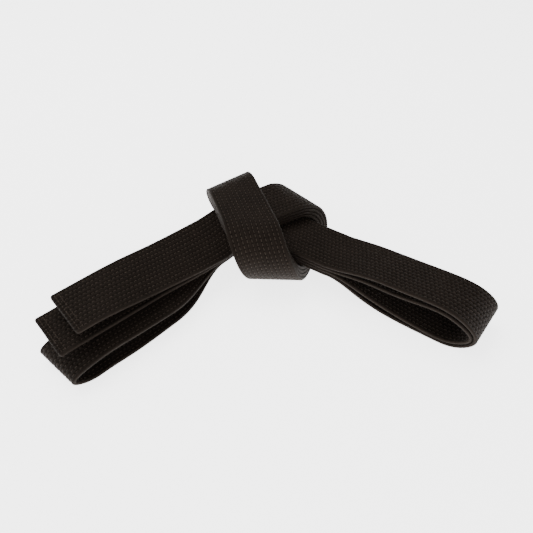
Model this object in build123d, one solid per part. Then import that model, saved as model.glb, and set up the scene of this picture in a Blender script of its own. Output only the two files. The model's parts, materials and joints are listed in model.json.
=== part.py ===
"""Quilted martial arts belt, folded into a stack of four plies and tied in one flat overhand knot.

Every ply is a cloth cover closed round two layers of cotton core. The stack runs through the knot
as flat stretches joined by skewed folds, each a screw turn about the fold's axis, so the strap keeps
its width and its length. Left of the knot lie two cut ends over one turned-back loop. Right of it
lie two nested loops. Millimetres and degrees, +Z up, ground at zero.
"""
from build123d import *
from math import cos, radians, sin, tan
import os

# Strap
BELT_WIDTH = 40.0
PLY_THICKNESS = 2.86
PLY_PITCH = 2.93
PLIES = 4
COVER_THICKNESS = 0.5
COVER_CLEARANCE = 0.02
CORE_LAYERS = 2
BODY_GAP = 0.1

# Knot, followed from the left arm to the right arm
GROUND_START = (28.8, 13.9)
GROUND_HEADING = -114.5
GROUND_LENGTH = 31.6
ARCH_FOLD = {"radius": 16.6, "angle": 183.4, "skew": -20.4}
NEAR_FOLD = {"radius": 22.2, "angle": 176.9, "skew": 22.4}
BAND_LENGTH = 42.1
TOP_FOLD = {"radius": 14.3, "angle": 183.7, "skew": -13.8}
FOLD_STEPS = 12
LEFT_RUN = {"length": 70.0, "turn": 16.7, "roll": 24.0}
RIGHT_RUN = {"length": 92.0, "turn": 9.3, "roll": 0.0}
RUN_STEPS = 12
LEFT_HEADING = -138.6

# Arms: each ply's side profile as (distance out from the knot, height) points
TAIL_A_PROFILE = [(62, 37.0), (117, 40.8)]
TAIL_B_PROFILE = [(62, 31.6), (133, 28.6)]
TAIL_A_ROLLS = (15.0, 4.0)
TAIL_B_ROLLS = (15.0, 2.0)
TAIL_SHIFT = -2.5
TAIL_A_SPRING = 0.09
LEFT_LOOP_SPRING = -0.09
TIP_LENGTH = 10.0
LEFT_LOOP_PROFILE = [(34, 23.6), (68, 22.2), (106, 22.4), (134, 17.0), (146.5, 9.6), (138, 3.0),
                     (122, 1.9), (100, 1.9), (68, 4.6), (34, 11.4)]
LEFT_LOOP_ROLL = 9.0
LEFT_LOOP_SHIFT = -14.0
OUTER_LOOP_PROFILE = [(28, 34.8), (60, 35.6), (90, 35.4), (110, 29.8), (120.6, 17.4), (111, 4.4),
                      (90, 2.0), (62, 4.4), (30, 12.5)]
INNER_LOOP_PROFILE = [(28, 29.4), (60, 28.8), (88, 30.8), (107, 26.8), (117.3, 17.4), (108, 7.2),
                      (90, 5.0), (62, 9.4), (30, 18.4)]
RIGHT_LOOP_ROLL = -6.0
RIGHT_HEADING = -30.5
LOOP_SKEW = 8.0
ARM_STEP = 4.6
ARM_EASE = 62.0
TAIL_EASE = 64.0
HALFWAY = 0.5
LOOP_ROLL_FULL = 1 / 6
LOOP_ROLL_FADES = 0.3

# Closed ends
END_STITCH_ROWS = (3.0, 6.0)
END_STITCH_WIDTH = 0.6
END_STITCH_HEIGHT = 0.3
END_STITCH_MARGIN = 2.0
END_WALL = 1.0

UP = Vector(0, 0, 1)
HALF_WIDTH = BELT_WIDTH / 2
HALF_PLY = PLY_THICKNESS / 2
STACK_HALF = (PLIES - 1) / 2 * PLY_PITCH


def turned(vector, axis, angle):
    """The vector turned about a unit axis through an angle in degrees."""
    a = radians(angle)
    return vector * cos(a) + axis.cross(vector) * sin(a) + axis * (axis.dot(vector) * (1 - cos(a)))


class Station:
    """One cut across the strap: its centre, the way along, the way up, and the line across it."""

    def __init__(self, centre, along, up, across=None):
        self.centre = centre
        self.along = along.normalized()
        self.up = up.normalized()
        self.across = across or self.up.cross(self.along)

    def point(self, sideways, height):
        return self.centre + self.across * sideways + self.up * height

    def rolled(self, angle, edge):
        """Turned about the way along, through a place at one edge."""
        hinge = self.point(edge, 0)
        across = turned(self.across, self.along, angle)
        return Station(hinge - across * edge, self.along, turned(self.up, self.along, angle), across)

    def raised(self, height):
        return Station(self.centre + self.up * height, self.along, self.up, self.across)

    def ahead(self, distance):
        return Station(self.centre + self.along * distance, self.along, self.up, self.across)

    def moved(self, distance):
        return Station(self.centre + self.along * distance, self.along, self.up)

    def swung(self, angle):
        return Station(self.centre, turned(self.along, self.up, angle), self.up)

    def wrapped(self, radius, angle, skew):
        """Round a fold whose axis lies below, skewed from the line across: a turn and a slide."""
        side = self.up.cross(self.along)
        axis = side * cos(radians(skew)) + self.along * sin(radians(skew))
        hub = self.centre - self.up * radius
        slide = radius * radians(angle) * tan(radians(skew))
        centre = hub + turned(self.centre - hub, axis, angle) + axis * slide
        along = turned(self.along, axis, angle)
        return Station(centre, along, turned(self.up, axis, angle), axis * (1 / cos(radians(skew))))


def fold(start, fold_shape, backward=False):
    """The stations of one fold, first to last along the strap."""
    sign = -1 if backward else 1
    angles = [sign * fold_shape["angle"] * step / FOLD_STEPS for step in range(FOLD_STEPS + 1)]
    stations = [start.wrapped(fold_shape["radius"], a, fold_shape["skew"]) for a in angles]
    return stations[::-1] if backward else stations


def run(start, shape, backward=False):
    """A nearly straight stretch that swings in its own plane, and rolls about its far edge as it leaves."""
    sign = -1 if backward else 1
    swing = shape["turn"] / RUN_STEPS / 2 * (1 if start.up.Z > 0 else -1)
    stations = [start]
    for _ in range(RUN_STEPS):
        step = stations[-1].swung(swing).moved(sign * shape["length"] / RUN_STEPS).swung(swing)
        stations.append(step)
    rolls = [shape["roll"] * smooth(i / RUN_STEPS, HALFWAY) for i in range(RUN_STEPS + 1)]
    stations = [s.rolled(roll, HALF_WIDTH) for s, roll in zip(stations, rolls)]
    return stations[::-1] if backward else stations


def knot_path():
    """Stations of the stack's middle surface, from the left exit of the knot to the right one."""
    heading = Vector(cos(radians(GROUND_HEADING)), sin(radians(GROUND_HEADING)), 0)
    ground = Station(Vector(*GROUND_START, STACK_HALF + HALF_PLY), heading, UP * -1)
    arch = fold(ground, ARCH_FOLD, backward=True)
    left = run(Station(arch[0].centre, arch[0].along, arch[0].up), LEFT_RUN, backward=True)
    near = fold(ground.moved(GROUND_LENGTH), NEAR_FOLD)
    band_start = Station(near[-1].centre, near[-1].along, near[-1].up)
    top = fold(band_start.moved(BAND_LENGTH), TOP_FOLD)
    right = run(Station(top[-1].centre, top[-1].along, top[-1].up), RIGHT_RUN)
    return left[:-1] + arch + near + top + right[1:]


def smooth(value, start=0.0, end=1.0):
    """Eases from 0 to 1 as the value goes from start to end, and holds beyond."""
    f = min(max((value - start) / (end - start), 0), 1)
    return f * f * (3 - 2 * f)


class Arm:
    """One side of the knot: where its plies leave it, and the way out and the way back from the viewer."""

    def __init__(self, exit_station, outward, heading):
        self.exit = Station(exit_station.centre, exit_station.along * outward, UP, None)
        self.out = Vector(cos(radians(heading)), sin(radians(heading)), 0)
        self.far = UP.cross(self.out) * (1 if UP.cross(self.out).Y > 0 else -1)
        self.exit_far = exit_station.across * (1 if exit_station.across.Y > 0 else -1)
        self.exit_up = exit_station.up * (1 if exit_station.up.Z > 0 else -1)

    def start(self, height, way=1):
        """The cut face of one ply at the knot, height above the stack's middle."""
        centre = self.exit.centre + self.exit_up * height + self.exit.along * BODY_GAP
        along = self.exit.along * way
        return Station(centre, along, along.cross(self.exit_far), self.exit_far)

    def profile(self, first, points, last, spring):
        """A smooth curve of (distance, height) from one cut face, and back to another in a loop."""
        slope = self.exit.along.Z
        ends = [(BODY_GAP, first.centre.Z)], [(BODY_GAP, last.centre.Z)] if last else []
        tangents = [(1, slope + spring), (-1, -slope) if last else (1, 0)]
        return Edge.make_spline([Vector(*p) for p in ends[0] + points + ends[1]],
                                [Vector(*t) for t in tangents])

    def path(self, first, points, last=None, roll=None, shift=0.0, skew=0.0, spring=0.0):
        """Stations along a ply. The roll, in degrees, is a function of the spot and its place, 0 to 1."""
        curve = self.profile(first, points, last, spring)
        reach = max(p[0] for p in points)
        steps = round(curve.length / ARM_STEP)
        stations = []
        for step in range(1, steps + (0 if last else 1)):
            place = step / steps
            spot = curve.position_at(place)
            slope = curve.tangent_at(place)
            lean = radians(roll(spot, place))
            level = self.far * cos(lean) + UP * sin(lean)
            side = level + self.out * tan(radians(skew)) * smooth(spot.X / reach, HALFWAY)
            face = last if last and place > HALFWAY else first
            drift = (face.centre - self.exit.centre).dot(self.far) * (1 - smooth(spot.X / ARM_EASE))
            centre = (Vector(self.exit.centre.X, self.exit.centre.Y, spot.Y) + self.out * spot.X
                      + self.far * drift + level * shift * smooth(spot.X / ARM_EASE))
            along = self.out * slope.X + UP * slope.Y
            stations.append(Station(centre, along, along.cross(side), side))
        return [first] + stations + [last or stations[-1].ahead(TIP_LENGTH)]


def tail_roll(rolls):
    """Eases from the roll at the knot to the first one, then to the second at the tip."""
    start, middle, end = LEFT_RUN["roll"], *rolls
    return lambda spot, place: (start + (middle - start) * smooth(spot.X / TAIL_EASE)
                                + (end - middle) * smooth(place, HALFWAY))


def loop_roll(start, most):
    """Both plies lean as the knot does where they leave it, and the upper one keeps a lean of its own."""
    return lambda spot, place: (start * (1 - smooth(spot.X / TAIL_EASE))
                                + most * smooth(place, 0, LOOP_ROLL_FULL)
                                * (1 - smooth(place, LOOP_ROLL_FADES, HALFWAY)))


def arm_paths(knot):
    """Stations of every ply in the two arms. Heights count the plies down from the stack's top."""
    left = Arm(knot[0], -1, LEFT_HEADING)
    right = Arm(knot[-1], 1, RIGHT_HEADING)
    levels = [STACK_HALF - PLY_PITCH * ply for ply in range(PLIES)]
    left_roll = loop_roll(LEFT_RUN["roll"], LEFT_LOOP_ROLL)
    right_roll = loop_roll(RIGHT_RUN["roll"], RIGHT_LOOP_ROLL)
    return {
        "tail_a": left.path(left.start(levels[0]), TAIL_A_PROFILE,
                            roll=tail_roll(TAIL_A_ROLLS), shift=TAIL_SHIFT, spring=TAIL_A_SPRING),
        "tail_b": left.path(left.start(levels[1]), TAIL_B_PROFILE,
                            roll=tail_roll(TAIL_B_ROLLS), shift=TAIL_SHIFT),
        "left_loop": left.path(left.start(levels[2]), LEFT_LOOP_PROFILE,
                               left.start(levels[3], -1), left_roll,
                               LEFT_LOOP_SHIFT, LOOP_SKEW, LEFT_LOOP_SPRING),
        "outer_right_loop": right.path(right.start(levels[0]), OUTER_LOOP_PROFILE,
                                       right.start(levels[3], -1), right_roll, skew=LOOP_SKEW),
        "inner_right_loop": right.path(right.start(levels[1]), INNER_LOOP_PROFILE,
                                       right.start(levels[2], -1), right_roll, skew=LOOP_SKEW),
    }


def facets(corners):
    """A flat four-sided face, or two triangles where the corners don't lie in one plane."""
    a, b, c, d = corners
    normal = (b - a).cross(c - a)
    if abs(normal.dot(d - a)) < 1e-7 * max(normal.length, 1e-9):
        return [Face(Wire.make_polygon(corners))]
    return [Face(Wire.make_polygon([a, b, c])), Face(Wire.make_polygon([a, c, d]))]


def rings(stations, half_width, low, high):
    """The four corners of the strap's section at every station."""
    spots = ((-half_width, low), (half_width, low), (half_width, high), (-half_width, high))
    return [[s.point(*spot) for spot in spots] for s in stations]


def skin(sections):
    """The long faces between neighbouring sections, split the same way above and below."""
    faces = []
    for near, away in zip(sections, sections[1:]):
        for i, j in ((0, 1), (3, 2), (0, 3), (1, 2)):
            faces += facets([near[i], near[j], away[j], away[i]])
    return faces


def solid(faces):
    shape = Solid(Shell(faces))
    return shape if shape.volume > 0 else Solid(Shell([-f for f in faces]))


def bar(stations, half_width, low, high):
    """A solid strap of rectangular section."""
    sections = rings(stations, half_width, low, high)
    ends = facets(sections[0]) + facets(sections[-1])
    return solid(skin(sections) + ends)


def cover(stations, closed_end=False):
    """The cover as a flat tube, open at its cut faces and closed at the belt's own ends."""
    outside = rings(stations, HALF_WIDTH, -HALF_PLY, HALF_PLY)
    hollow = inner_stations(stations, closed_end)
    inside = rings(hollow, HALF_WIDTH - COVER_THICKNESS, COVER_THICKNESS - HALF_PLY,
                   HALF_PLY - COVER_THICKNESS)
    faces = skin(outside) + skin(inside) + mouth(outside[0], inside[0])
    if closed_end:
        faces += facets(outside[-1]) + facets(inside[-1])
    else:
        faces += mouth(outside[-1], inside[-1])
    return solid(faces)


def mouth(outer, inner):
    """The ring of cloth at a cut face."""
    faces = []
    for k in range(4):
        faces += facets([outer[k], outer[k - 1], inner[k - 1], inner[k]])
    return faces


def inner_stations(stations, closed_end):
    """The hollow's stations, which stop short of a closed end."""
    if not closed_end:
        return stations
    return stations[:-1] + [stations[-1].ahead(-END_WALL)]


def core_layers(stations, closed_end=False):
    """The cotton layers inside one cover, the first one uppermost in the list's own up."""
    room = PLY_THICKNESS - 2 * COVER_THICKNESS - 2 * COVER_CLEARANCE
    thickness = (room - (CORE_LAYERS - 1) * COVER_CLEARANCE) / CORE_LAYERS
    half_width = HALF_WIDTH - COVER_THICKNESS - COVER_CLEARANCE
    inside = inner_stations(stations, closed_end)
    if closed_end:
        inside = inside[:-1] + [inside[-1].ahead(-COVER_CLEARANCE)]
    layers = []
    for layer in range(CORE_LAYERS):
        high = room / 2 - layer * (thickness + COVER_CLEARANCE)
        layers.append(bar(inside, half_width, high - thickness, high))
    return layers


def end_stitching(stations):
    """Rows of thread across a closed end, on both faces of the ply's flat tip."""
    threads = []
    for row in END_STITCH_ROWS:
        cuts = [stations[-1].ahead(side * END_STITCH_WIDTH / 2 - row) for side in (-1, 1)]
        for face in (-1, 1):
            low = HALF_PLY + COVER_CLEARANCE
            levels = sorted((face * low, face * (low + END_STITCH_HEIGHT)))
            threads.append(bar(cuts, HALF_WIDTH - END_STITCH_MARGIN, *levels))
    return threads


def belt():
    """Every node of the belt as a name and its solids."""
    knot = knot_path()
    nodes = {}
    for ply in range(PLIES):
        height = STACK_HALF - PLY_PITCH * ply
        nodes |= stretch(f"knot_ply_{ply + 1}", [s.raised(height) for s in knot])
    for name, stations in arm_paths(knot).items():
        closed = name.startswith("tail")
        nodes |= stretch(name, stations, closed)
        if closed:
            nodes[f"{name}_end_stitching"] = end_stitching(stations)
    return nodes


def stretch(name, stations, closed_end=False):
    """The cover and core layers of one stretch of the strap."""
    nodes = {f"{name}_cover": [cover(stations, closed_end)]}
    for number, layer in enumerate(core_layers(stations, closed_end), 1):
        nodes[f"{name}_core_layer_{number}"] = [layer]
    return nodes


def footprint_centre(solids):
    """The middle of everything's outline on the ground."""
    boxes = [s.bounding_box() for s in solids]
    low_x, high_x = min(b.min.X for b in boxes), max(b.max.X for b in boxes)
    low_y, high_y = min(b.min.Y for b in boxes), max(b.max.Y for b in boxes)
    return Vector((low_x + high_x) / 2, (low_y + high_y) / 2, 0)


def main():
    nodes = belt()
    centre = footprint_centre([s for solids in nodes.values() for s in solids])
    os.makedirs("parts", exist_ok=True)
    for name, solids in nodes.items():
        placed = [s.moved(Location(centre * -1)) for s in solids]
        shape = placed[0] if len(placed) == 1 else Compound(children=placed)
        shape.label = name
        export_step(shape, f"parts/{name}.step")


if __name__ == "__main__":
    main()
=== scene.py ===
"""Visual model of a quilted martial arts belt, folded in four plies and tied in one overhand knot.

The strap's route repeats the CAD part's route, as one line from the upper cut end to the lower one. The
middle surface of the strap is laid along it with true lengths, so that the quilting keeps its spacing
round the folds, and is then given its puffed channels, its rounded edges and its stitches.
Lengths are in millimetres until a mesh is made, and in metres from there on.
"""
import json
from math import cos, pi, radians, sin, tan

import bpy
import numpy as np
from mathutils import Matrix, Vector


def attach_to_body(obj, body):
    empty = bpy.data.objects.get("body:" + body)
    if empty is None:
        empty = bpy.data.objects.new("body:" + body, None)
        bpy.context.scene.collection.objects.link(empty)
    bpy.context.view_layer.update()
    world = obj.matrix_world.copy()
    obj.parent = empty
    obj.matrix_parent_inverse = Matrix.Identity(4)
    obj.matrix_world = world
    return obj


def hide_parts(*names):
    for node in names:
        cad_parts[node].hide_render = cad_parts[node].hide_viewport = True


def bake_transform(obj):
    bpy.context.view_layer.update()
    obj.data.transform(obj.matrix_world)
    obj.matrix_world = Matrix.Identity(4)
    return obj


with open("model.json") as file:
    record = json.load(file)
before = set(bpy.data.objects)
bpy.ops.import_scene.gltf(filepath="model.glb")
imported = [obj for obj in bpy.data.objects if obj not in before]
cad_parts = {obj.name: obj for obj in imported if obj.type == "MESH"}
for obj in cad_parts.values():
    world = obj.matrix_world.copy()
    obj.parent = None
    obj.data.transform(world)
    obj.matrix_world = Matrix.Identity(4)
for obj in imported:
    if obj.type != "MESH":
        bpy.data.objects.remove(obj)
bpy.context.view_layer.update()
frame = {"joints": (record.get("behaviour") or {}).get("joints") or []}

MM = 0.001

# The strap and its route, as in the CAD part
BELT_WIDTH = 40.0
HALF_WIDTH = BELT_WIDTH / 2
PLY_THICKNESS = 2.86
HALF_PLY = PLY_THICKNESS / 2
PLY_PITCH = 2.93
PLIES = 4
BODY_GAP = 0.1
STACK_HALF = (PLIES - 1) / 2 * PLY_PITCH
GROUND_START = (28.8, 13.9)
GROUND_HEADING = -114.5
GROUND_LENGTH = 31.6
ARCH_FOLD = {"radius": 16.6, "angle": 183.4, "skew": -20.4}
NEAR_FOLD = {"radius": 22.2, "angle": 176.9, "skew": 22.4}
BAND_LENGTH = 42.1
TOP_FOLD = {"radius": 14.3, "angle": 183.7, "skew": -13.8}
LEFT_RUN = {"length": 70.0, "turn": 16.7, "roll": 24.0}
RIGHT_RUN = {"length": 92.0, "turn": 9.3, "roll": 0.0}
LEFT_HEADING = -138.6
TAIL_A_PROFILE = [(62, 37.0), (117, 40.8)]
TAIL_B_PROFILE = [(62, 31.6), (133, 28.6)]
TAIL_A_ROLLS = (15.0, 4.0)
TAIL_B_ROLLS = (15.0, 2.0)
TAIL_SHIFT = -2.5
TAIL_A_SPRING = 0.09
LEFT_LOOP_SPRING = -0.09
TIP_LENGTH = 10.0
LEFT_LOOP_PROFILE = [(34, 23.6), (68, 22.2), (106, 22.4), (134, 17.0), (146.5, 9.6), (138, 3.0),
                     (122, 1.9), (100, 1.9), (68, 4.6), (34, 11.4)]
LEFT_LOOP_ROLL = 9.0
LEFT_LOOP_SHIFT = -14.0
OUTER_LOOP_PROFILE = [(28, 34.8), (60, 35.6), (90, 35.4), (110, 29.8), (120.6, 17.4), (111, 4.4),
                      (90, 2.0), (62, 4.4), (30, 12.5)]
INNER_LOOP_PROFILE = [(28, 29.4), (60, 28.8), (88, 30.8), (107, 26.8), (117.3, 17.4), (108, 7.2),
                      (90, 5.0), (62, 9.4), (30, 18.4)]
RIGHT_LOOP_ROLL = -6.0
RIGHT_HEADING = -30.5
LOOP_SKEW = 8.0
ARM_EASE = 62.0
TAIL_EASE = 64.0
HALFWAY = 0.5
LOOP_ROLL_FULL = 1 / 6
LOOP_ROLL_FADES = 0.3

# Where the strap is cut into pieces round each lift joint, as distances out from the knot
BEND_IN = -6.0
BEND_OUT = 8.0
SECOND_BEND = 18.0
THIRD_BEND = 28.0

# The cloth's surface: rows of quilting, with a valley along each and a hole wherever the needle went in
ROWS = 11
MIDDLE_ROW = (ROWS - 1) / 2
ROW_PITCH = BELT_WIDTH / (ROWS + 1)
OUTER_ROW = ROW_PITCH * MIDDLE_ROW
STITCH = 3.3
ROW_STAGGER = 0.5
ROW_SLIP = 0.06
VALLEY = 0.46
VALLEY_SHARPNESS = 1.6
HOLE_DEPTH = 0.30
HOLE_SIZE = 0.55
PUCKER = 0.042
FACE_SWELL = 0.02
EDGE_ROUND = 1.5
CORNER_ROUND = 2.6
END_ROUND = 1.6

# Slow waves in each face: how high, the length of each along the strap and its slant across it, and how
# widely their starts are spread
FACE_WANDER = 0.05
WAVES = [(23.0, 0.11), (9.1, 0.23), (4.3, -0.31)]
WAVE_STARTS = 9.0

# Threads. A stitch is a tube that dives into the cloth at both ends: its size and lift at places along it,
# how far it strays from its row, and the two rows that close each cut end.
THREAD_WIDTH = 0.72
THREAD_HEIGHT = 0.42
THREAD_SIDES = 6
THREAD_PLACES = np.array([0.0, 0.12, 0.32, 0.5, 0.68, 0.88, 1.0])
THREAD_SIZE = np.array([0.35, 0.8, 1.0, 1.0, 1.0, 0.8, 0.35])
THREAD_LIFT = np.array([-0.24, 0.08, 0.23, 0.27, 0.23, 0.08, -0.24])
THREAD_WANDER = 0.07
WANDER_ALONG = 0.9
WANDER_ACROSS = 2.1
STITCH_GAP = 0.09
BARE_END = 2.2
END_ROWS = (3.0, 6.0)
END_MARGIN = 2.0
END_STITCH = 2.7
END_STITCH_GAP = 0.1

# How finely the surface is made
SAMPLE = 0.5
RINGS_PER_STITCH = 6
RING_GAP = STITCH / RINGS_PER_STITCH
CHANNEL_SAMPLES = 5
RIM_SAMPLES = 3
EDGE_SAMPLES = 5
SOFTEN_PASSES = 12

# The first keeps lengths rising where two stations coincide, the second keeps a division from failing
NUDGE = 1e-9
TINY = 1e-12

UP = np.array([0.0, 0.0, 1.0])
RNG = np.random.default_rng(7)


# ---------------------------------------------------------------- the route
def unit(vector):
    return vector / np.linalg.norm(vector)


def smooth(value, start=0.0, end=1.0):
    """Rises from 0 at the start to 1 at the end, level at both."""
    f = np.clip((value - start) / (end - start), 0, 1)
    return f * f * (3 - 2 * f)


def turned(vector, axis, angle):
    a = radians(angle)
    return vector * cos(a) + np.cross(axis, vector) * sin(a) + axis * np.dot(axis, vector) * (1 - cos(a))


class Station:
    """One cut across the strap: its centre, the way along, the way up, and the line across it."""

    def __init__(self, centre, along, up, across=None):
        self.centre = np.array(centre, float)
        self.along = unit(np.array(along, float))
        self.up = unit(np.array(up, float))
        self.across = np.cross(self.up, self.along) if across is None else np.array(across, float)

    def rolled(self, angle, edge):
        """Turned about the way along, round a line off to one side."""
        hinge = self.centre + self.across * edge
        across = turned(self.across, self.along, angle)
        return Station(hinge - across * edge, self.along, turned(self.up, self.along, angle), across)

    def raised(self, height):
        return Station(self.centre + self.up * height, self.along, self.up, self.across)

    def moved(self, distance):
        return Station(self.centre + self.along * distance, self.along, self.up)

    def swung(self, angle):
        return Station(self.centre, turned(self.along, self.up, angle), self.up)

    def wrapped(self, radius, angle, skew):
        """Carried round a fold whose axis is skewed to the strap, so that the strap leaves to one side."""
        side = np.cross(self.up, self.along)
        axis = side * cos(radians(skew)) + self.along * sin(radians(skew))
        hub = self.centre - self.up * radius
        slide = radius * radians(angle) * tan(radians(skew))
        centre = hub + turned(self.centre - hub, axis, angle) + axis * slide
        return Station(centre, turned(self.along, axis, angle), turned(self.up, axis, angle),
                       axis / cos(radians(skew)))


def fold(start, shape, backward=False):
    """The stations round a fold that leaves the start, or that arrives at it if it is backward."""
    sign = -1 if backward else 1
    steps = int(shape["radius"] * radians(shape["angle"]) / SAMPLE)
    stations = [start.wrapped(shape["radius"], sign * shape["angle"] * i / steps, shape["skew"])
                for i in range(steps + 1)]
    return stations[::-1] if backward else stations


def run(start, shape, backward=False):
    """The stations of a stretch that turns in its own plane and rolls about its edge, as fold gives them."""
    sign = -1 if backward else 1
    steps = int(shape["length"] / SAMPLE)
    swing = shape["turn"] / steps / 2 * (1 if start.up[2] > 0 else -1)
    stations = [start]
    for _ in range(steps):
        stations.append(stations[-1].swung(swing).moved(sign * shape["length"] / steps).swung(swing))
    stations = [s.rolled(shape["roll"] * smooth(i / steps, HALFWAY), HALF_WIDTH)
                for i, s in enumerate(stations)]
    return stations[::-1] if backward else stations


def fanned(first, last, length):
    """Stations that swing evenly from one to another on a flat stretch."""
    count = int(length / SAMPLE)
    out = []
    for i in range(1, count):
        f = i / count
        out.append(Station(first.centre * (1 - f) + last.centre * f, first.along, first.up,
                           first.across * (1 - f) + last.across * f))
    return out


def knot_path():
    """The stack's middle surface from the left exit of the knot to the right one."""
    heading = np.array([cos(radians(GROUND_HEADING)), sin(radians(GROUND_HEADING)), 0])
    ground = Station((*GROUND_START, STACK_HALF + HALF_PLY), heading, -UP)
    arch = fold(ground, ARCH_FOLD, backward=True)
    left = run(Station(arch[0].centre, arch[0].along, arch[0].up), LEFT_RUN, backward=True)
    near = fold(ground.moved(GROUND_LENGTH), NEAR_FOLD)
    band = Station(near[-1].centre, near[-1].along, near[-1].up)
    top = fold(band.moved(BAND_LENGTH), TOP_FOLD)
    right = run(Station(top[-1].centre, top[-1].along, top[-1].up), RIGHT_RUN)
    return (left[:-1] + arch + fanned(arch[-1], near[0], GROUND_LENGTH) + near
            + fanned(near[-1], top[0], BAND_LENGTH) + top + right[1:])


def spline(points, tangents):
    """A smooth curve through (distance, height) points that leaves and arrives in the given ways."""
    p = np.array(points, float)
    t = np.array([unit(np.array(v, float)) for v in tangents])
    knots = np.concatenate([[0], np.cumsum(np.linalg.norm(np.diff(p, axis=0), axis=1))])
    n = len(p)
    gap = np.diff(knots)
    system, right = np.zeros((n, n)), np.zeros((n, 2))
    system[0, 0] = system[-1, -1] = 1
    right[0], right[-1] = t[0], t[1]
    for i in range(1, n - 1):
        a, b = gap[i - 1], gap[i]
        system[i, i - 1:i + 2] = b, 2 * (a + b), a
        right[i] = 3 * (b * (p[i] - p[i - 1]) / a + a * (p[i + 1] - p[i]) / b)
    slopes = np.linalg.solve(system, right)
    x = np.linspace(0, knots[-1], int(knots[-1] / SAMPLE))
    i = np.clip(np.searchsorted(knots, x, "right") - 1, 0, n - 2)
    h = gap[i][:, None]
    f = ((x - knots[i]) / gap[i])[:, None]
    spots = ((2 * f ** 3 - 3 * f ** 2 + 1) * p[i] + (f ** 3 - 2 * f ** 2 + f) * h * slopes[i]
             + (3 * f ** 2 - 2 * f ** 3) * p[i + 1] + (f ** 3 - f ** 2) * h * slopes[i + 1])
    ways = np.gradient(spots, axis=0)
    length = np.concatenate([[0], np.cumsum(np.linalg.norm(np.diff(spots, axis=0), axis=1))])
    return spots, ways, length / length[-1]


class Arm:
    """One side of the knot: where its plies leave it, and the way out and the way back from the viewer."""

    def __init__(self, exit_station, outward, heading):
        self.exit = Station(exit_station.centre, exit_station.along * outward, UP)
        self.out = np.array([cos(radians(heading)), sin(radians(heading)), 0])
        self.far = np.cross(UP, self.out)
        self.far = self.far * (1 if self.far[1] > 0 else -1)
        self.exit_far = exit_station.across * (1 if exit_station.across[1] > 0 else -1)
        self.exit_up = exit_station.up * (1 if exit_station.up[2] > 0 else -1)

    def start(self, height, way=1):
        """The section of a ply where it leaves the knot, or where it comes back to it."""
        centre = self.exit.centre + self.exit_up * height + self.exit.along * BODY_GAP
        along = self.exit.along * way
        return Station(centre, along, np.cross(along, self.exit_far), self.exit_far)

    def path(self, first, points, last=None, roll=None, shift=0.0, skew=0.0, spring=0.0):
        """Stations along a ply. The roll, in degrees, comes from the distance out and the place, 0 to 1."""
        slope = self.exit.along[2]
        leaves = [(BODY_GAP, first.centre[2])]
        returns = [(BODY_GAP, last.centre[2])] if last else []
        spots, ways, places = spline(leaves + points + returns,
                                     [(1, slope + spring), (-1, -slope) if last else (1, 0)])
        reach = max(p[0] for p in points)
        stations = []
        for (distance, rise), way, place in list(zip(spots, ways, places))[1:-1 if last else None]:
            lean = radians(roll(distance, place))
            level = self.far * cos(lean) + UP * sin(lean)
            side = level + self.out * tan(radians(skew)) * smooth(distance / reach, HALFWAY)
            eased = smooth(distance / ARM_EASE)
            face = last if last and place > HALFWAY else first
            drift = np.dot(face.centre - self.exit.centre, self.far) * (1 - eased)
            centre = (np.array([self.exit.centre[0], self.exit.centre[1], rise]) + self.out * distance
                      + self.far * drift + level * shift * eased)
            along = self.out * way[0] + UP * way[1]
            stations.append(Station(centre, along, np.cross(along, side), side))
        if last:
            return [first] + stations + [last]
        tip = stations[-1]
        steps = int(TIP_LENGTH / SAMPLE)
        return [first] + stations + [
            Station(tip.centre + tip.along * TIP_LENGTH * i / steps, tip.along, tip.up, tip.across)
            for i in range(1, steps + 1)]


def tail_roll(rolls):
    """Eases from the roll at the knot to the first one, then to the second at the tip."""
    start, middle, end = LEFT_RUN["roll"], *rolls
    return lambda distance, place: (start + (middle - start) * smooth(distance / TAIL_EASE)
                                    + (end - middle) * smooth(place, HALFWAY))


def loop_roll(start, most):
    """Both plies lean as the knot does where they leave it, and the upper one keeps a lean of its own."""
    return lambda distance, place: (start * (1 - smooth(distance / TAIL_EASE))
                                    + most * smooth(place, 0, LOOP_ROLL_FULL)
                                    * (1 - smooth(place, LOOP_ROLL_FADES, HALFWAY)))


KNOT = knot_path()
LEFT = Arm(KNOT[0], -1, LEFT_HEADING)
RIGHT = Arm(KNOT[-1], 1, RIGHT_HEADING)
LEVELS = [STACK_HALF - PLY_PITCH * ply for ply in range(PLIES)]


def ply(number):
    """A ply of the knot, counted from the top of the stack at the left exit."""
    return [s.raised(LEVELS[number - 1]) for s in KNOT]


TAIL_A = LEFT.path(LEFT.start(LEVELS[0]), TAIL_A_PROFILE, roll=tail_roll(TAIL_A_ROLLS), shift=TAIL_SHIFT,
                   spring=TAIL_A_SPRING)
TAIL_B = LEFT.path(LEFT.start(LEVELS[1]), TAIL_B_PROFILE, roll=tail_roll(TAIL_B_ROLLS), shift=TAIL_SHIFT)
LEFT_LOOP = LEFT.path(LEFT.start(LEVELS[2]), LEFT_LOOP_PROFILE, LEFT.start(LEVELS[3], -1),
                      loop_roll(LEFT_RUN["roll"], LEFT_LOOP_ROLL), LEFT_LOOP_SHIFT, LOOP_SKEW,
                      LEFT_LOOP_SPRING)
OUTER_LOOP = RIGHT.path(RIGHT.start(LEVELS[0]), OUTER_LOOP_PROFILE, RIGHT.start(LEVELS[3], -1),
                        loop_roll(RIGHT_RUN["roll"], RIGHT_LOOP_ROLL), 0.0, LOOP_SKEW)
INNER_LOOP = RIGHT.path(RIGHT.start(LEVELS[1]), INNER_LOOP_PROFILE, RIGHT.start(LEVELS[2], -1),
                        loop_roll(RIGHT_RUN["roll"], RIGHT_LOOP_ROLL), 0.0, LOOP_SKEW)

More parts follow.
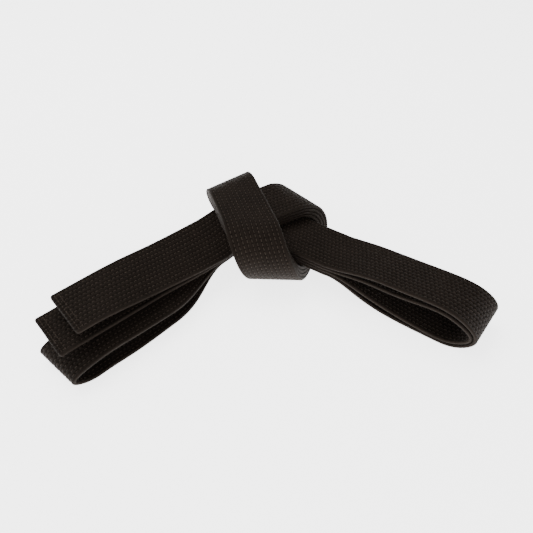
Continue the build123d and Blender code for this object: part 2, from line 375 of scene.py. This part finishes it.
# The strap from the upper cut end to the lower one
COURSE = [("tail_a", TAIL_A[::-1]), ("knot_ply_1", ply(1)), ("outer_right_loop", OUTER_LOOP[::-1]),
          ("knot_ply_4", ply(4)[::-1]), ("left_loop", LEFT_LOOP[::-1]), ("knot_ply_3", ply(3)),
          ("inner_right_loop", INNER_LOOP), ("knot_ply_2", ply(2)[::-1]), ("tail_b", TAIL_B)]

# The part is moved so that its footprint is centred, and a joint's place says how far.
JOINTS = {j["name"]: j for j in frame["joints"]}
TOP_OF_STACK = STACK_HALF + HALF_PLY
SHIFT = LEFT.exit.centre + LEFT.exit_up * TOP_OF_STACK - np.array(JOINTS["left_arm_lift"]["pos_m"]) / MM


# ---------------------------------------------------------------- the strap's middle surface
def across_samples():
    """Places across the strap: even ones between the rows, and closer ones round each edge."""
    inside = np.linspace(-OUTER_ROW, OUTER_ROW, (ROWS - 1) * CHANNEL_SAMPLES + 1)
    rim = np.linspace(OUTER_ROW, HALF_WIDTH - EDGE_ROUND, RIM_SAMPLES + 1)[1:]
    turns = np.linspace(0, pi / 2, EDGE_SAMPLES + 1)[1:]
    edge = HALF_WIDTH - EDGE_ROUND + EDGE_ROUND * np.sin(turns)
    side = np.concatenate([rim, edge])
    return np.concatenate([-side[::-1], inside, side])


ACROSS = across_samples()
CENTRE_LINE = len(ACROSS) // 2


def course_grid():
    """Points across every station of the course, and each stretch's first and last station."""
    centres, acrosses, bounds = [], [], {}
    last_across, count = None, 0
    for name, stations in COURSE:
        side = np.array([s.across for s in stations])
        if last_across is not None and np.dot(side[0], last_across) < 0:
            side = -side
        last_across = side[-1]
        centres.append(np.array([s.centre for s in stations]))
        acrosses.append(side)
        bounds[name] = (count, count + len(stations) - 1)
        count += len(stations)
    centre, side = np.concatenate(centres), np.concatenate(acrosses)
    return centre[:, None] + side[:, None] * ACROSS[None, :, None], bounds


def lay_out():
    """Points of the middle surface at even true lengths along every line of the strap.

    Lines that are longer or shorter than the middle one over a stretch are brought back level with it.
    """
    grid, bounds = course_grid()
    steps = np.linalg.norm(np.diff(grid, axis=0), axis=2)
    along = np.concatenate([np.zeros((1, len(ACROSS))), np.cumsum(steps, axis=0)])
    middle = along[:, CENTRE_LINE]
    marks = sorted(station for ends in bounds.values() for station in ends)
    order = np.arange(len(grid))
    rings = np.append(np.arange(0, middle[-1], RING_GAP), middle[-1])
    surface = np.zeros((len(rings), len(ACROSS), 3))
    for j in range(len(ACROSS)):
        drift = along[marks, j] - middle[marks]
        line = np.maximum.accumulate(along[:, j] - np.interp(order, marks, drift) + order * NUDGE)
        for axis in range(3):
            surface[:, j, axis] = np.interp(rings, line, grid[:, j, axis])
    spans = {name: (middle[first], middle[last]) for name, (first, last) in bounds.items()}
    return rings, surface, spans


LENGTHS, MIDDLE, SPANS = lay_out()
TOTAL = LENGTHS[-1]


def soften(grid):
    """Takes small corners out along the strap: each ring becomes half itself and half its neighbours."""
    for _ in range(SOFTEN_PASSES):
        grid[1:-1] = grid[1:-1] * 0.5 + (grid[:-2] + grid[2:]) * 0.25
    return grid


def round_corners(grid):
    """Draws the strap in beside its two cut ends, so that their corners are rounded."""
    for ring, length in enumerate(LENGTHS):
        short = CORNER_ROUND - min(length, TOTAL - length)
        if short > 0:
            half = HALF_WIDTH - CORNER_ROUND + (CORNER_ROUND ** 2 - short ** 2) ** 0.5
            middle = grid[ring, CENTRE_LINE]
            grid[ring] = middle + (grid[ring] - middle) * half / HALF_WIDTH
    return grid


MIDDLE = round_corners(soften(MIDDLE))
NORMALS = np.cross(np.gradient(MIDDLE, axis=1), np.gradient(MIDDLE, axis=0))
NORMALS /= np.linalg.norm(NORMALS, axis=2, keepdims=True)

ROW_PHASE = (np.arange(ROWS) % 2) * ROW_STAGGER + RNG.uniform(-ROW_SLIP, ROW_SLIP, ROWS)
WOBBLE = RNG.uniform(-1, 1, (2, len(WAVES), 2))


def gentle(s, u, face):
    """A slow wander along and across one face of the strap, between -1 and 1."""
    wobble = WOBBLE[0 if face > 0 else 1]
    return sum(np.sin(s / length + start * WAVE_STARTS + u * slant * lean)
               for (length, slant), (start, lean) in zip(WAVES, wobble)) / len(WAVES)


def rounding(depth):
    """Share of the thickness left in a rounded rim, which begins at depth 0 and closes at depth 1."""
    return np.sqrt(1 - np.clip(depth, 0, 1) ** 2)


def height(s, u, face):
    """Distance of the cloth's face from the middle surface, at lengths s along and places u across."""
    row = np.clip(np.round(u / ROW_PITCH), -MIDDLE_ROW, MIDDLE_ROW)
    away = u - row * ROW_PITCH
    wave = (1 + np.cos(2 * pi * away / ROW_PITCH)) / 2
    valley = np.where(np.abs(away) < ROW_PITCH / 2, wave ** VALLEY_SHARPNESS, 0)
    stitch = s / STITCH - ROW_PHASE[(row + MIDDLE_ROW).astype(int)]
    turn = stitch % 1.0
    nearest = np.minimum(turn, 1 - turn) * STITCH
    hole = np.exp(-(nearest / HOLE_SIZE) ** 2 - (away / HOLE_SIZE) ** 2)
    puff = PUCKER * np.cos(2 * pi * stitch) * (1 - valley)
    full = (HALF_PLY + FACE_SWELL - VALLEY * valley - HOLE_DEPTH * hole - puff
            + FACE_WANDER * gentle(s, u, face))
    edge = (np.abs(u) - (HALF_WIDTH - EDGE_ROUND)) / EDGE_ROUND
    end = (END_ROUND - np.minimum(s, TOTAL - s)) / END_ROUND
    return full * rounding(edge) * rounding(end)


def faces_of(first, last):
    """Both faces of the strap between two rings, as points in millimetres."""
    s, u = np.meshgrid(LENGTHS[first:last + 1], ACROSS, indexing="ij")
    middle, normal = MIDDLE[first:last + 1], NORMALS[first:last + 1]
    return [middle + normal * (face * height(s, u, face))[..., None] for face in (1, -1)]


def ring_at(length):
    return int(np.clip(round(length / RING_GAP), 0, len(LENGTHS) - 1))


def put_in_scene(name, data):
    """A new object in the scene."""
    obj = bpy.data.objects.new(name, data)
    bpy.context.scene.collection.objects.link(obj)
    return obj


def make_mesh(name, points, faces, uv, material):
    """A smooth object from points and UVs in millimetres."""
    mesh = bpy.data.meshes.new(name)
    mesh.from_pydata((points - SHIFT) * MM, [], faces)
    layer = mesh.uv_layers.new(name="strap")
    loops = np.zeros(len(mesh.loops), np.int32)
    mesh.loops.foreach_get("vertex_index", loops)
    layer.data.foreach_set("uv", (uv[loops] * MM).astype(np.float32).ravel())
    mesh.materials.append(material)
    mesh.polygons.foreach_set("use_smooth", [True] * len(mesh.polygons))
    return put_in_scene(name, mesh)


def tube_quads(index):
    """Quads between neighbouring rings, from the points' numbers, which run round each ring."""
    a, b = index[..., :-1, :], index[..., 1:, :]
    return np.stack([a, np.roll(a, -1, -1), np.roll(b, -1, -1), b], axis=-1).reshape(-1, 4).tolist()


def cap(base):
    """Quads that close one end of a stretch, from its upper face's points to its lower face's."""
    faces = []
    for j in range(len(ACROSS) - 1):
        corners = [base[j + 1], base[j], base[-j % len(base)], base[-(j + 1) % len(base)]]
        faces.append([c for i, c in enumerate(corners) if c not in corners[:i]])
    return faces


def strap_piece(name, start, end, material):
    """One closed stretch of the strap between two lengths along it."""
    first, last = ring_at(start), ring_at(end)
    top, bottom = faces_of(first, last)
    ring = np.concatenate([top, bottom[:, -2:0:-1]], axis=1)
    s, u = np.meshgrid(LENGTHS[first:last + 1], np.concatenate([ACROSS, ACROSS[-2:0:-1]]), indexing="ij")
    index = np.arange(s.size).reshape(s.shape)
    walls = tube_quads(index)
    caps = cap(index[0]) + [corners[::-1] for corners in cap(index[-1])]
    obj = make_mesh(name, ring.reshape(-1, 3), walls + caps, np.stack([u, s], -1).reshape(-1, 2), material)
    shade(obj, ring_normals(ring), len(walls))
    return obj


def ring_normals(ring):
    """Normals at every point of a stretch, from the points beside it."""
    along = np.gradient(ring, axis=0)
    around = np.roll(ring, -1, 1) - np.roll(ring, 1, 1)
    normal = np.cross(around, along)
    return normal / np.maximum(np.linalg.norm(normal, axis=2, keepdims=True), TINY)


def shade(obj, normals, walls):
    """Sets the walls' normals to the given ones. The caps, which come after them, keep their own."""
    mesh = obj.data
    loops = np.zeros(len(mesh.loops), np.int32)
    mesh.loops.foreach_get("vertex_index", loops)
    table = normals.reshape(-1, 3)[loops]
    starts = np.zeros(len(mesh.polygons), np.int32)
    mesh.polygons.foreach_get("loop_start", starts)
    for face in range(walls, len(mesh.polygons)):
        table[starts[face]:starts[face] + mesh.polygons[face].loop_total] = mesh.polygons[face].normal
    mesh.normals_split_custom_set(table.tolist())


# ---------------------------------------------------------------- stitches
def on_strap(s, u, face):
    """Points of the middle surface and a face's normals there, for arrays of lengths and places across."""
    rings = s / RING_GAP
    i = np.clip(rings.astype(int), 0, len(LENGTHS) - 2)
    f = (rings - i)[..., None]
    j = np.clip(np.searchsorted(ACROSS, u, "right") - 1, 0, len(ACROSS) - 2)
    g = ((u - ACROSS[j]) / (ACROSS[j + 1] - ACROSS[j]))[..., None]

    def mix(table):
        return ((table[i, j] * (1 - g) + table[i, j + 1] * g) * (1 - f)
                + (table[i + 1, j] * (1 - g) + table[i + 1, j + 1] * g) * f)

    normal = mix(NORMALS) * face
    return mix(MIDDLE), normal / np.linalg.norm(normal, axis=-1, keepdims=True)


def stitches(name, starts, ends, face, material):
    """A tube of thread for each stitch. starts and ends are (length, across) pairs."""
    starts, ends = np.array(starts), np.array(ends)
    place = THREAD_PLACES[None, :, None]
    line = starts[:, None] * (1 - place) + ends[:, None] * place
    s, u = line[..., 0], line[..., 1]
    middle, normal = on_strap(s, u, face)
    lift = height(s, u, face) + THREAD_LIFT
    spine = middle + normal * lift[..., None]
    way = np.gradient(spine, axis=1)
    way /= np.linalg.norm(way, axis=-1, keepdims=True)
    side = np.cross(normal, way)
    side /= np.linalg.norm(side, axis=-1, keepdims=True)
    turn = np.arange(THREAD_SIDES) / THREAD_SIDES * 2 * pi
    size = THREAD_SIZE[:, None, None]
    wide = np.cos(turn)[:, None] * THREAD_WIDTH / 2 * size
    high = np.sin(turn)[:, None] * THREAD_HEIGHT / 2 * size
    ring = spine[:, :, None] + side[:, :, None] * wide + normal[:, :, None] * high
    index = np.arange(ring[..., 0].size).reshape(ring.shape[:3])
    caps = index[:, 0, ::-1].tolist() + index[:, -1].tolist()
    uv = np.stack([np.broadcast_to(turn / (2 * pi), index.shape),
                   np.broadcast_to(s[:, :, None], index.shape)], -1).reshape(-1, 2)
    return make_mesh(name, ring.reshape(-1, 3), tube_quads(index) + caps, uv, material)


def row_stitches(start, end):
    """(starts, ends) of the quilting stitches whose middles lie between two lengths."""
    starts, ends = [], []
    number = np.arange(int(TOTAL / STITCH) + 1)
    for row in range(ROWS):
        across = (row - MIDDLE_ROW) * ROW_PITCH
        low = (number + ROW_PHASE[row] + STITCH_GAP) * STITCH
        high = (number + ROW_PHASE[row] + 1 - STITCH_GAP) * STITCH
        middle = (low + high) / 2
        keep = (middle >= start) & (middle < end) & (low > BARE_END) & (high < TOTAL - BARE_END)
        wander = THREAD_WANDER * np.sin(number * WANDER_ALONG + row * WANDER_ACROSS)
        for a, b, w in zip(low[keep], high[keep], wander[keep]):
            starts.append((a, across + w))
            ends.append((b, across - w))
    return starts, ends


def end_rows(at, inward):
    """(starts, ends) of the two rows of stitches across a closed end."""
    starts, ends = [], []
    reach = HALF_WIDTH - END_MARGIN
    count = int(2 * reach / END_STITCH)
    pitch = 2 * reach / count
    for row in END_ROWS:
        s = at + inward * row
        for i in range(count):
            starts.append((s, -reach + (i + END_STITCH_GAP) * pitch))
            ends.append((s, -reach + (i + 1 - END_STITCH_GAP) * pitch))
    return starts, ends


# ---------------------------------------------------------------- materials
# Colours, each shade with the noise value where it is reached, and shares and pitches of what mixes them
WARM_GLINT = (1.0, 0.78, 0.62, 1)
WARM_SHEEN = (1.0, 0.88, 0.80, 1)
CLOTH_SHADES = [(0.38, (0.0023, 0.0016, 0.0012, 1)), (0.64, (0.0072, 0.0050, 0.0038, 1))]
# Painted shade: near-black laid in the valley of each sewn channel, where shade falls
CHANNEL_PAINTED_SHADE_COLOUR = (0.0008, 0.0006, 0.0005, 1)
# Painted highlight and wear: a paler colour along the rims of both faces
RIM_HIGHLIGHT_AND_WEAR_COLOUR = (0.017, 0.0128, 0.0103, 1)
CLOTH_ROUGHNESS = (0.56, 0.78)
CLOUD_SHARE = 0.55
# Width of the rim that gets painted highlight and wear, and how strongly the patches show
HIGHLIGHT_AND_WEAR_RIM = 1.3
HIGHLIGHT_AND_WEAR_SHARE = 0.75
WEFT_PITCH = 0.42
WARP_PITCH = 0.34
WEAVE_SHARE = 0.35
THREAD_SHADES = [(0.3, (0.0118, 0.0087, 0.0069, 1)), (0.75, (0.0345, 0.0260, 0.0210, 1))]
TWIST_PITCH = 0.55


def node_material(name):
    material = bpy.data.materials.new(name)
    material.use_nodes = True
    tree = material.node_tree
    return material, tree, tree.nodes["Principled BSDF"]


def add(tree, kind, **values):
    node = tree.nodes.new(kind)
    for key, value in values.items():
        setattr(node, key, value)
    return node


def set_inputs(tree, node, values):
    """Gives each named input a number or colour, or joins it to another node's output."""
    for name, value in values.items():
        if isinstance(value, bpy.types.NodeSocket):
            tree.links.new(value, node.inputs[name])
        else:
            node.inputs[name].default_value = value


def math_node(tree, operation, a, b=None, clamp=False):
    node = add(tree, "ShaderNodeMath", operation=operation, use_clamp=clamp)
    set_inputs(tree, node, {i: value for i, value in enumerate((a, b)) if value is not None})
    return node.outputs[0]


def noise(tree, **inputs):
    """A cloudy pattern that is fixed to the object."""
    node = add(tree, "ShaderNodeTexNoise")
    place = add(tree, "ShaderNodeTexCoord").outputs["Object"]
    set_inputs(tree, node, {**inputs, "Vector": place})
    return node.outputs["Fac"]


def ramp(tree, value, shades):
    """A colour between two shades, each given with the value where it is reached."""
    node = add(tree, "ShaderNodeValToRGB")
    for element, (position, colour) in zip(node.color_ramp.elements, shades):
        element.position = position
        element.color = colour
    set_inputs(tree, node, {"Fac": value})
    return node.outputs["Color"]


def tinted(tree, factor, colour, tint):
    """The colour where the factor is 0, and the tint where it is 1."""
    node = add(tree, "ShaderNodeMix", data_type="RGBA")
    set_inputs(tree, node, {"B": tint, "Factor": factor, "A": colour})
    return node.outputs["Result"]


def bump(tree, relief, strength, distance):
    """A normal from a relief, whose depth is given in millimetres."""
    node = add(tree, "ShaderNodeBump")
    set_inputs(tree, node, {"Strength": strength, "Distance": distance * MM, "Height": relief})
    return node.outputs["Normal"]


def strap_uv(tree):
    """The UV map's two numbers: across and along the strap on cloth, round and along a thread."""
    spot = add(tree, "ShaderNodeSeparateXYZ")
    set_inputs(tree, spot, {"Vector": add(tree, "ShaderNodeUVMap", uv_map="strap").outputs[0]})
    return spot.outputs[0], spot.outputs[1]


def waves(tree, kind, value, pitch):
    """A sine or cosine of a length, with its pitch in millimetres."""
    return math_node(tree, kind, math_node(tree, "MULTIPLY", value, 2 * pi / (pitch * MM)))


def cloth_material(name="belt_cloth"):
    """Black cotton: a fine weave, slow changes of shade, painted shade in the sewn channels, paler rims
    painted as highlight and wear.
    """
    material, tree, shader = node_material(name)
    u, s = strap_uv(tree)
    cloud = noise(tree, Scale=38, Detail=4)
    grain = noise(tree, Scale=900, Detail=5, Roughness=0.6)
    shade_of = math_node(tree, "ADD", math_node(tree, "MULTIPLY", cloud, CLOUD_SHARE),
                         math_node(tree, "MULTIPLY", grain, 1 - CLOUD_SHARE))
    from_middle = math_node(tree, "ABSOLUTE", u)
    sewn = math_node(tree, "LESS_THAN", from_middle, ROWS / 2 * ROW_PITCH * MM)
    # Painted shade along each sewn channel, darkest in its valley
    channel_painted_shade = math_node(tree, "MULTIPLY", waves(tree, "COSINE", u, ROW_PITCH), sewn, clamp=True)
    # Painted highlight and wear: paler in patches over the last part of each rim
    into_rim = math_node(tree, "SUBTRACT", from_middle, (HALF_WIDTH - HIGHLIGHT_AND_WEAR_RIM) * MM)
    rim_highlight_and_wear = math_node(tree, "MULTIPLY", into_rim, 1 / (HIGHLIGHT_AND_WEAR_RIM * MM), clamp=True)
    rim_highlight_and_wear = math_node(tree, "MULTIPLY", rim_highlight_and_wear, math_node(tree, "MULTIPLY", cloud, HIGHLIGHT_AND_WEAR_SHARE), clamp=True)
    colour = tinted(tree, channel_painted_shade, ramp(tree, shade_of, CLOTH_SHADES), CHANNEL_PAINTED_SHADE_COLOUR)
    rough = add(tree, "ShaderNodeMapRange")
    set_inputs(tree, rough, {"To Min": CLOTH_ROUGHNESS[0], "To Max": CLOTH_ROUGHNESS[1], "Value": grain})
    weave = math_node(tree, "MULTIPLY", waves(tree, "SINE", s, WEFT_PITCH),
                      waves(tree, "SINE", u, WARP_PITCH))
    relief = math_node(tree, "ADD", math_node(tree, "MULTIPLY", weave, WEAVE_SHARE), grain)
    set_inputs(tree, shader, {
        "Base Color": tinted(tree, rim_highlight_and_wear, colour, RIM_HIGHLIGHT_AND_WEAR_COLOUR),
        "Roughness": rough.outputs["Result"],
        "Normal": bump(tree, relief, strength=0.8, distance=0.16),
        "Specular IOR Level": 0.13, "Specular Tint": WARM_GLINT,
        "Sheen Weight": 0.02, "Sheen Roughness": 0.45, "Sheen Tint": WARM_SHEEN})
    return material


def thread_material(name="belt_thread"):
    """Black spun thread: a slanting twist, and a little more gloss than the cloth."""
    material, tree, shader = node_material(name)
    around, along = strap_uv(tree)
    slant = math_node(tree, "ADD", math_node(tree, "MULTIPLY", around, 2 * pi / MM),
                      math_node(tree, "MULTIPLY", along, 2 * pi / (TWIST_PITCH * MM)))
    twist = math_node(tree, "SINE", slant)
    set_inputs(tree, shader, {
        "Base Color": ramp(tree, noise(tree, Scale=420), THREAD_SHADES),
        "Roughness": 0.5,
        "Normal": bump(tree, twist, strength=0.5, distance=0.08),
        "Specular IOR Level": 0.22, "Specular Tint": WARM_GLINT})
    return material


CLOTH = cloth_material()
THREAD = thread_material()


def bend(obj, arm, joint, start, end):
    """Bakes the piece's transform into its mesh; the piece does not bend. arm, joint, start and end are not
    used.
    """
    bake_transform(obj)


TAIL_A_ROOT = SPANS["tail_a"][1]
TAIL_B_ROOT = SPANS["tail_b"][0]
LEFT_START, LEFT_END = SPANS["left_loop"]
OUTER_START, OUTER_END = SPANS["outer_right_loop"]
INNER_START, INNER_END = SPANS["inner_right_loop"]
INWARD = -BEND_IN

# What a piece is given: a body that holds it, or the arm, the joint, and where it would start and end to
# bend, which are not used
LEFT_LIFT = (LEFT, "left_arm_lift", BEND_IN, BEND_OUT)
RIGHT_LIFT = (RIGHT, "right_arm_lift", BEND_IN, BEND_OUT)
TAIL_B_LIFT = (LEFT, "tail_b_lift", BEND_OUT, SECOND_BEND)
TAIL_A_LIFT = (LEFT, "tail_a_lift", SECOND_BEND, THIRD_BEND)

# The strap's pieces in order, each from where the one before it ends: its name, where it ends, the faces
# with stitches, what holds it, and the CAD stretch it replaces. Plies 2 and 3 are hidden between the other
# two, so they have no stitches.
BOTH = (1, -1)
PIECES = [
    ("tail_a", TAIL_A_ROOT - SECOND_BEND, BOTH, TAIL_A_LIFT, "tail_a"),
    ("tail_a_root", TAIL_A_ROOT - BEND_OUT, BOTH, TAIL_B_LIFT, None),
    ("tail_a_exit", TAIL_A_ROOT + INWARD, BOTH, LEFT_LIFT, None),
    ("knot_ply_1", OUTER_START - INWARD, BOTH, "knot", "knot_ply_1"),
    ("outer_right_loop", OUTER_END + INWARD, BOTH, RIGHT_LIFT, "outer_right_loop"),
    ("knot_ply_4", LEFT_START - INWARD, BOTH, "knot", "knot_ply_4"),
    ("left_loop", LEFT_END + INWARD, BOTH, LEFT_LIFT, "left_loop"),
    ("knot_ply_3", INNER_START - INWARD, (), "knot", "knot_ply_3"),
    ("inner_right_loop", INNER_END + INWARD, BOTH, RIGHT_LIFT, "inner_right_loop"),
    ("knot_ply_2", TAIL_B_ROOT - INWARD, (), "knot", "knot_ply_2"),
    ("tail_b_exit", TAIL_B_ROOT + BEND_OUT, BOTH, LEFT_LIFT, None),
    ("tail_b", TOTAL, BOTH, TAIL_B_LIFT, "tail_b"),
]
# Where each cut end lies, and the way from it into the strap
CUT_ENDS = {"tail_a": (0.0, 1), "tail_b": (TOTAL, -1)}


def attach(obj, hold):
    if isinstance(hold, str):
        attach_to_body(obj, hold)
    else:
        bend(obj, *hold)


def sew(name, starts, ends, face, hold):
    """A row or rows of stitches on one face, held as the cloth they are sewn to."""
    sewn = stitches(f"{name}_{'upper' if face > 0 else 'lower'}", starts, ends, face, THREAD)
    attach(sewn, hold)
    return sewn


start = 0.0
for name, end, faces, hold, stretch in PIECES:
    cloth = strap_piece(f"{name}_cloth", start, end, CLOTH)
    attach(cloth, hold)
    threads = [sew(f"{name}_stitches", *row_stitches(start, end), face, hold) for face in faces]
    if stretch:
        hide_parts(f"{stretch}_cover", f"{stretch}_core_layer_1", f"{stretch}_core_layer_2")
    if stretch in CUT_ENDS:
        threads += [sew(f"{stretch}_end_stitches", *end_rows(*CUT_ENDS[stretch]), face, hold)
                    for face in faces]
        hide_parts(f"{stretch}_end_stitching")
    start = end


# ---------------------------------------------------------------- stage, camera and light
FLOOR_SIZE = 6.0
FLOOR_GLOW = 3.2
FLOOR_COLOUR = (0.9, 0.9, 0.9, 1)
WHITE = (1, 1, 1, 1)
SKY_STRENGTH = 0.5

# The camera looks along the y axis and down. Its target and distance are in the CAD part's millimetres.
ELEVATION = 47.22
DISTANCE = 436.2
LOOK_AT = np.array([0.0, -12.12, 0.0])
LENS = 34.73
SENSOR = 36.0
NEAR_CLIP = 0.01

# Each softbox: name, place and size in metres, and power in watts. All are turned to the frame's origin.
SOFTBOXES = [("key", (-0.35, 0.45, 1.15), (1.1, 0.8), 16), ("fill_front", (0.4, -1.1, 0.8), (1.2, 0.9), 9),
             ("side_left", (-1.2, -0.1, 0.55), (0.7, 0.9), 6)]


def studio_floor(name="studio_floor"):
    """A white floor that glows, so that it stays white round the belt."""
    material, tree, shader = node_material(name)
    set_inputs(tree, shader, {"Base Color": FLOOR_COLOUR, "Roughness": 0.9, "Emission Color": WHITE,
                              "Emission Strength": FLOOR_GLOW})
    mesh = bpy.data.meshes.new(name)
    half = FLOOR_SIZE / 2
    corners = [(-half, -half, 0), (half, -half, 0), (half, half, 0), (-half, half, 0)]
    mesh.from_pydata(corners, [], [(0, 1, 2, 3)])
    mesh.materials.append(material)
    return put_in_scene(name, mesh)


def set_camera():
    data = bpy.data.cameras.new("camera")
    data.lens = LENS
    data.sensor_width = SENSOR
    data.clip_start = NEAR_CLIP
    camera = put_in_scene("camera", data)
    eye = LOOK_AT + DISTANCE * np.array([0, -cos(radians(ELEVATION)), sin(radians(ELEVATION))])
    camera.location = Vector((eye - SHIFT) * MM)
    camera.rotation_euler = (radians(90 - ELEVATION), 0, 0)
    bpy.context.scene.camera = camera


def softbox(name, spot, size, power):
    light = bpy.data.lights.new(name, "AREA")
    light.shape = "RECTANGLE"
    light.size, light.size_y = size
    light.energy = power
    obj = put_in_scene(name, light)
    obj.location = spot
    obj.rotation_euler = (-Vector(spot)).to_track_quat("-Z", "Y").to_euler()


def set_sky():
    world = bpy.data.worlds.new("studio")
    world.use_nodes = True
    tree = world.node_tree
    set_inputs(tree, tree.nodes["Background"], {"Color": WHITE, "Strength": SKY_STRENGTH})
    bpy.context.scene.world = world


studio_floor()
set_camera()
for box in SOFTBOXES:
    softbox(*box)
set_sky()
